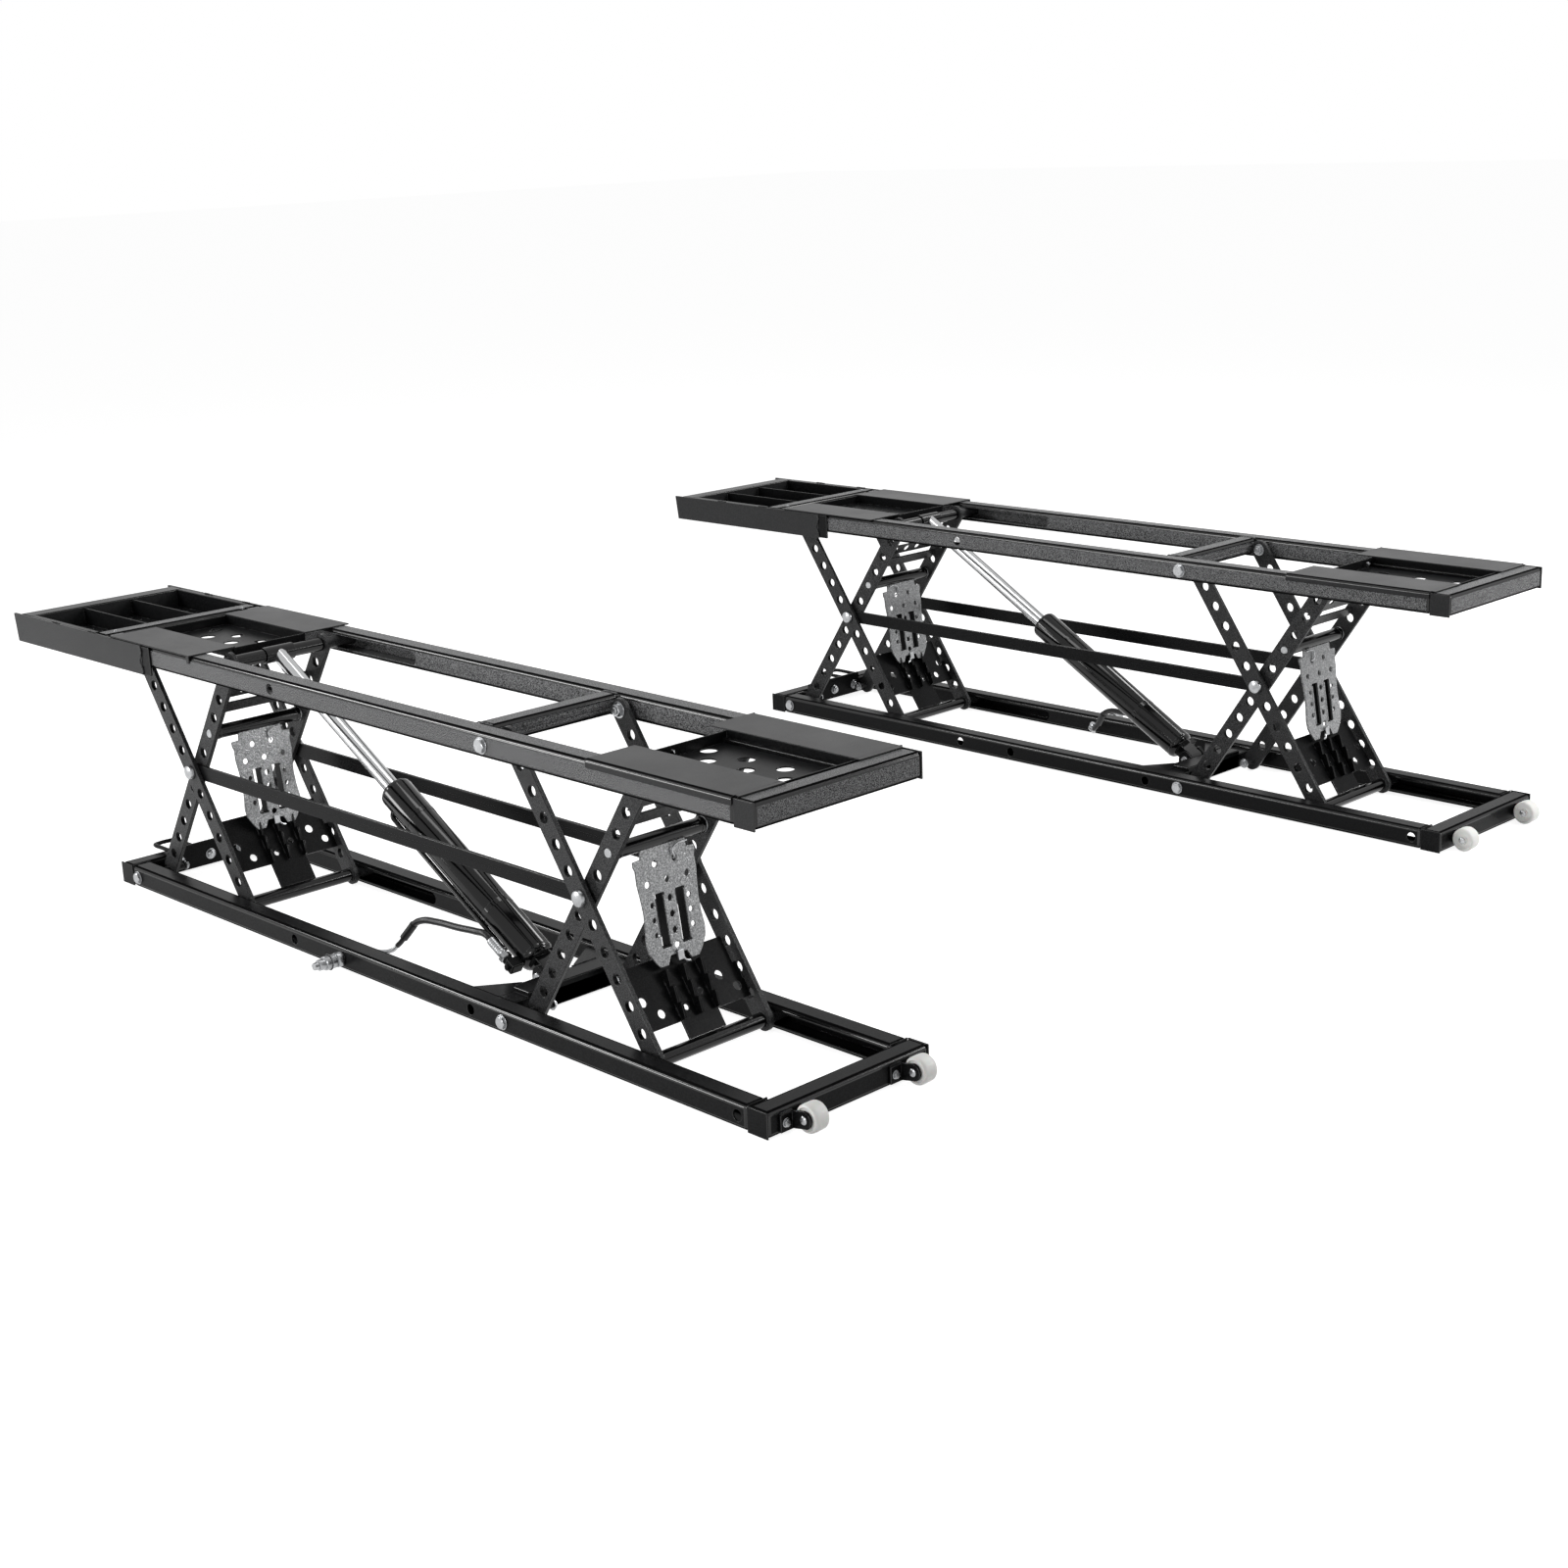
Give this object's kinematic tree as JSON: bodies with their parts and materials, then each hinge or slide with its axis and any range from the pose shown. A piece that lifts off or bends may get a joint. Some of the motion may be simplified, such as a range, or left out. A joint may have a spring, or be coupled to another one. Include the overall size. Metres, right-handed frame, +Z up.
{
  "type": "vehicle lift",
  "caption": "Portable low-rise vehicle lift: mirrored scissor runways with hydraulic cylinders, lock struts, trays and transport wheels, raised.",
  "frame": {"origin": "middle of the bottom of the raised lift's box, on the floor", "axes": "+X along the runways from the end tray to the wheels, +Y across them from the near to the far runway, +Z up"},
  "size_m": [2.1734, 2.137, 0.4898],
  "materials": {
    "black_coat": "satin black powder coat on welded steel",
    "hammered_grey": "glossy hammered silver-grey paint",
    "zinc": "bright zinc plated steel",
    "chrome": "hard chrome, polished",
    "hose_rubber": "matte black hydraulic hose",
    "white_nylon": "white nylon, slightly glossy"
  },
  "bodies": {
    "base": {"near_base_frame": "black_coat", "near_cylinder_pin": "zinc", "near_hose": "hose_rubber", "near_hose_coupler": "zinc", "near_wheel_bracket_near": "black_coat", "near_wheel_bracket_far": "black_coat", "near_pull_handle": "zinc", "far_base_frame": "black_coat", "far_cylinder_pin": "zinc", "far_hose": "hose_rubber", "far_hose_coupler": "zinc", "far_wheel_bracket_near": "black_coat", "far_wheel_bracket_far": "black_coat", "far_pull_handle": "zinc"},
    "near_inner_left": {"near_inner_legs_left": "black_coat", "near_strut_shaft_left": "zinc"},
    "near_outer_left": {"near_outer_legs_left": "black_coat", "near_lock_ladder_left": "black_coat"},
    "near_deck": {"near_top_frame": "black_coat", "near_end_tray": "black_coat", "near_rear_tray": "black_coat", "near_front_tray": "black_coat"},
    "near_inner_right": {"near_inner_legs_right": "black_coat", "near_strut_shaft_right": "zinc"},
    "near_outer_right": {"near_outer_legs_right": "black_coat", "near_lock_ladder_right": "black_coat"},
    "near_link": {"near_link_bar_near": "black_coat", "near_link_bar_far": "black_coat"},
    "near_strut_left": {"near_lock_strut_left": "hammered_grey"},
    "near_strut_right": {"near_lock_strut_right": "hammered_grey"},
    "near_barrel": {"near_cylinder_barrel": "black_coat", "near_hose_fitting": "zinc"},
    "near_rod": {"near_cylinder_rod": "chrome", "near_rod_pin": "black_coat"},
    "near_wheel_near": {"near_wheel_near": "white_nylon"},
    "near_wheel_far": {"near_wheel_far": "white_nylon"},
    "far_inner_left": {"far_inner_legs_left": "black_coat", "far_strut_shaft_left": "zinc"},
    "far_outer_left": {"far_outer_legs_left": "black_coat", "far_lock_ladder_left": "black_coat"},
    "far_deck": {"far_top_frame": "black_coat", "far_end_tray": "black_coat", "far_rear_tray": "black_coat", "far_front_tray": "black_coat"},
    "far_inner_right": {"far_inner_legs_right": "black_coat", "far_strut_shaft_right": "zinc"},
    "far_outer_right": {"far_outer_legs_right": "black_coat", "far_lock_ladder_right": "black_coat"},
    "far_link": {"far_link_bar_near": "black_coat", "far_link_bar_far": "black_coat"},
    "far_strut_left": {"far_lock_strut_left": "hammered_grey"},
    "far_strut_right": {"far_lock_strut_right": "hammered_grey"},
    "far_barrel": {"far_cylinder_barrel": "black_coat", "far_hose_fitting": "zinc"},
    "far_rod": {"far_cylinder_rod": "chrome", "far_rod_pin": "black_coat"},
    "far_wheel_near": {"far_wheel_near": "white_nylon"},
    "far_wheel_far": {"far_wheel_far": "white_nylon"}
  },
  "joints": [
    {"name": "near_lift", "type": "hinge", "parent": "base", "child": "near_inner_left", "pos_m": [-0.71772, -0.8482, 0.02], "axis": [0, 1, 0], "range_deg": [0, 50]},
    {"name": "near_outer_left_fold", "type": "hinge", "parent": "near_inner_left", "child": "near_outer_left", "pos_m": [-0.56623, -0.8482, 0.2435], "axis": [0, 1, 0], "range_deg": [-100, 0]},
    {"name": "near_deck_fold", "type": "hinge", "parent": "near_outer_left", "child": "near_deck", "pos_m": [-0.71772, -0.8482, 0.467], "axis": [0, 1, 0], "range_deg": [0, 50]},
    {"name": "near_inner_right_fold", "type": "hinge", "parent": "base", "child": "near_inner_right", "pos_m": [0.40831, -0.8482, 0.02], "axis": [0, 1, 0], "range_deg": [0, 50]},
    {"name": "near_outer_right_fold", "type": "hinge", "parent": "near_inner_right", "child": "near_outer_right", "pos_m": [0.5598, -0.8482, 0.2435], "axis": [0, 1, 0], "range_deg": [-100, 0]},
    {"name": "near_link_fold", "type": "hinge", "parent": "near_inner_left", "child": "near_link", "pos_m": [-0.56623, -0.8482, 0.2435], "axis": [0, 1, 0], "range_deg": [-50, 0]},
    {"name": "near_strut_left_fold", "type": "hinge", "parent": "near_inner_left", "child": "near_strut_left", "pos_m": [-0.51348, -0.8482, 0.32131], "axis": [0, 1, 0], "range_deg": [-127, 0]},
    {"name": "near_strut_right_fold", "type": "hinge", "parent": "near_inner_right", "child": "near_strut_right", "pos_m": [0.61254, -0.8482, 0.32131], "axis": [0, 1, 0], "range_deg": [-127, 0]},
    {"name": "near_barrel_tilt", "type": "hinge", "parent": "base", "child": "near_barrel", "pos_m": [0.32631, -0.8482, 0.034], "axis": [0, 1, 0], "range_deg": [-25.66, 0]},
    {"name": "near_rod_slide", "type": "slide", "parent": "near_barrel", "child": "near_rod", "axis": [-0.8634, 0, 0.5045], "range_m": [-0.34985, 0]},
    {"name": "near_wheel_near_spin", "type": "hinge", "parent": "base", "child": "near_wheel_near", "pos_m": [1.03328, -0.9512, 0.023], "axis": [0, 1, 0], "continuous": true},
    {"name": "near_wheel_far_spin", "type": "hinge", "parent": "base", "child": "near_wheel_far", "pos_m": [1.03328, -0.7292, 0.023], "axis": [0, 1, 0], "continuous": true},
    {"name": "far_lift", "type": "hinge", "parent": "base", "child": "far_inner_left", "pos_m": [-0.68622, 0.8482, 0.02], "axis": [0, 1, 0], "range_deg": [0, 50]},
    {"name": "far_outer_left_fold", "type": "hinge", "parent": "far_inner_left", "child": "far_outer_left", "pos_m": [-0.53473, 0.8482, 0.2435], "axis": [0, 1, 0], "range_deg": [-100, 0]},
    {"name": "far_deck_fold", "type": "hinge", "parent": "far_outer_left", "child": "far_deck", "pos_m": [-0.68622, 0.8482, 0.467], "axis": [0, 1, 0], "range_deg": [0, 50]},
    {"name": "far_inner_right_fold", "type": "hinge", "parent": "base", "child": "far_inner_right", "pos_m": [0.43981, 0.8482, 0.02], "axis": [0, 1, 0], "range_deg": [0, 50]},
    {"name": "far_outer_right_fold", "type": "hinge", "parent": "far_inner_right", "child": "far_outer_right", "pos_m": [0.5913, 0.8482, 0.2435], "axis": [0, 1, 0], "range_deg": [-100, 0]},
    {"name": "far_link_fold", "type": "hinge", "parent": "far_inner_left", "child": "far_link", "pos_m": [-0.53473, 0.8482, 0.2435], "axis": [0, 1, 0], "range_deg": [-50, 0]},
    {"name": "far_strut_left_fold", "type": "hinge", "parent": "far_inner_left", "child": "far_strut_left", "pos_m": [-0.48198, 0.8482, 0.32131], "axis": [0, 1, 0], "range_deg": [-127, 0]},
    {"name": "far_strut_right_fold", "type": "hinge", "parent": "far_inner_right", "child": "far_strut_right", "pos_m": [0.64404, 0.8482, 0.32131], "axis": [0, 1, 0], "range_deg": [-127, 0]},
    {"name": "far_barrel_tilt", "type": "hinge", "parent": "base", "child": "far_barrel", "pos_m": [0.35781, 0.8482, 0.034], "axis": [0, 1, 0], "range_deg": [-25.66, 0]},
    {"name": "far_rod_slide", "type": "slide", "parent": "far_barrel", "child": "far_rod", "axis": [-0.8634, 0, 0.5045], "range_m": [-0.34985, 0]},
    {"name": "far_wheel_near_spin", "type": "hinge", "parent": "base", "child": "far_wheel_near", "pos_m": [1.06478, 0.9512, 0.023], "axis": [0, 1, 0], "continuous": true},
    {"name": "far_wheel_far_spin", "type": "hinge", "parent": "base", "child": "far_wheel_far", "pos_m": [1.06478, 0.7292, 0.023], "axis": [0, 1, 0], "continuous": true}
  ],
  "couplings": [
    {"joint": "near_outer_left_fold", "follows": "near_lift", "ratio": -2},
    {"joint": "near_deck_fold", "follows": "near_lift", "ratio": 1},
    {"joint": "near_inner_right_fold", "follows": "near_lift", "ratio": 1},
    {"joint": "near_outer_right_fold", "follows": "near_lift", "ratio": -2},
    {"joint": "near_link_fold", "follows": "near_lift", "ratio": -1},
    {"joint": "near_strut_left_fold", "follows": "near_lift", "ratio": -2.54},
    {"joint": "near_strut_right_fold", "follows": "near_lift", "ratio": -2.54},
    {"joint": "near_barrel_tilt", "follows": "near_lift", "ratio": -0.51296},
    {"joint": "near_rod_slide", "follows": "near_lift", "m_per_rad": -0.40078},
    {"joint": "far_outer_left_fold", "follows": "far_lift", "ratio": -2},
    {"joint": "far_deck_fold", "follows": "far_lift", "ratio": 1},
    {"joint": "far_inner_right_fold", "follows": "far_lift", "ratio": 1},
    {"joint": "far_outer_right_fold", "follows": "far_lift", "ratio": -2},
    {"joint": "far_link_fold", "follows": "far_lift", "ratio": -1},
    {"joint": "far_strut_left_fold", "follows": "far_lift", "ratio": -2.54},
    {"joint": "far_strut_right_fold", "follows": "far_lift", "ratio": -2.54},
    {"joint": "far_barrel_tilt", "follows": "far_lift", "ratio": -0.51296},
    {"joint": "far_rod_slide", "follows": "far_lift", "m_per_rad": -0.40078}
  ]
}
